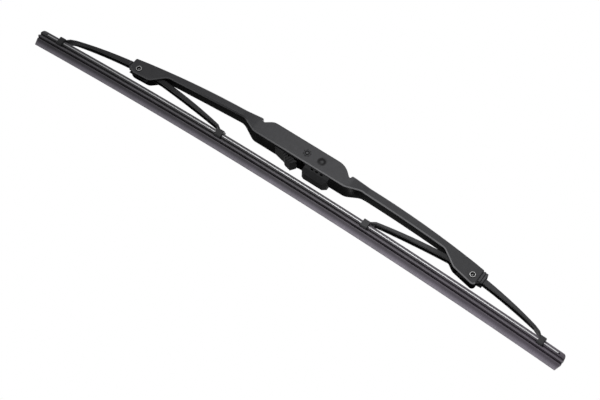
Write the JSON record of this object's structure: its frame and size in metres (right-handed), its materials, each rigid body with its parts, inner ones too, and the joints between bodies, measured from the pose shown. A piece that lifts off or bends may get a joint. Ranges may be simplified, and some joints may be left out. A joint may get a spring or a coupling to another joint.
{
  "type": "wiper blade",
  "caption": "Framed windscreen wiper blade: a pressed steel bridge with pivoting yokes whose claws hold a rubber wiping strip, and a swivelling plastic adapter for a hook arm.",
  "frame": {"origin": "centre of the cross pin that carries the hook adapter, midway along the blade", "axes": "+X along the blade, from the arm's side towards the hook's bend; +Z away from the glass; +Y across the blade"},
  "size_m": [0.3805, 0.0128, 0.0383],
  "materials": {
    "black_paint": "satin",
    "adapter_plastic": "matte",
    "liner_plastic": "matte",
    "rivet_steel": "satin",
    "spring_steel": "satin",
    "blade_rubber": "matte"
  },
  "bodies": {
    "adapter": {"arm_adapter": "adapter_plastic"},
    "bridge": {"main_bridge": "black_paint", "adapter_pin": "rivet_steel", "left_pivot_rivet": "rivet_steel", "right_pivot_rivet": "rivet_steel", "left_pivot_liner": "liner_plastic", "right_pivot_liner": "liner_plastic", "wiper_rubber": "blade_rubber", "front_flexor": "spring_steel", "rear_flexor": "spring_steel"},
    "yoke_left": {"left_yoke": "black_paint"},
    "yoke_right": {"right_yoke": "black_paint"}
  },
  "joints": [
    {"name": "adapter_swivel", "type": "hinge", "parent": "adapter", "child": "bridge", "pos_m": [0, 0, 0], "axis": [0, 1, 0], "range_deg": [-12, 12]},
    {"name": "left_yoke_pivot", "type": "hinge", "parent": "bridge", "child": "yoke_left", "pos_m": [-0.1208, 0, -0.0098], "axis": [0, 1, 0], "range_deg": [-5, 5], "stiffness_Nm_per_rad": 1, "deforming": ["wiper_rubber", "front_flexor", "rear_flexor"]},
    {"name": "right_yoke_pivot", "type": "hinge", "parent": "bridge", "child": "yoke_right", "pos_m": [0.1228, 0, -0.0098], "axis": [0, 1, 0], "range_deg": [-5, 5], "stiffness_Nm_per_rad": 1, "deforming": ["wiper_rubber", "front_flexor", "rear_flexor"]}
  ]
}
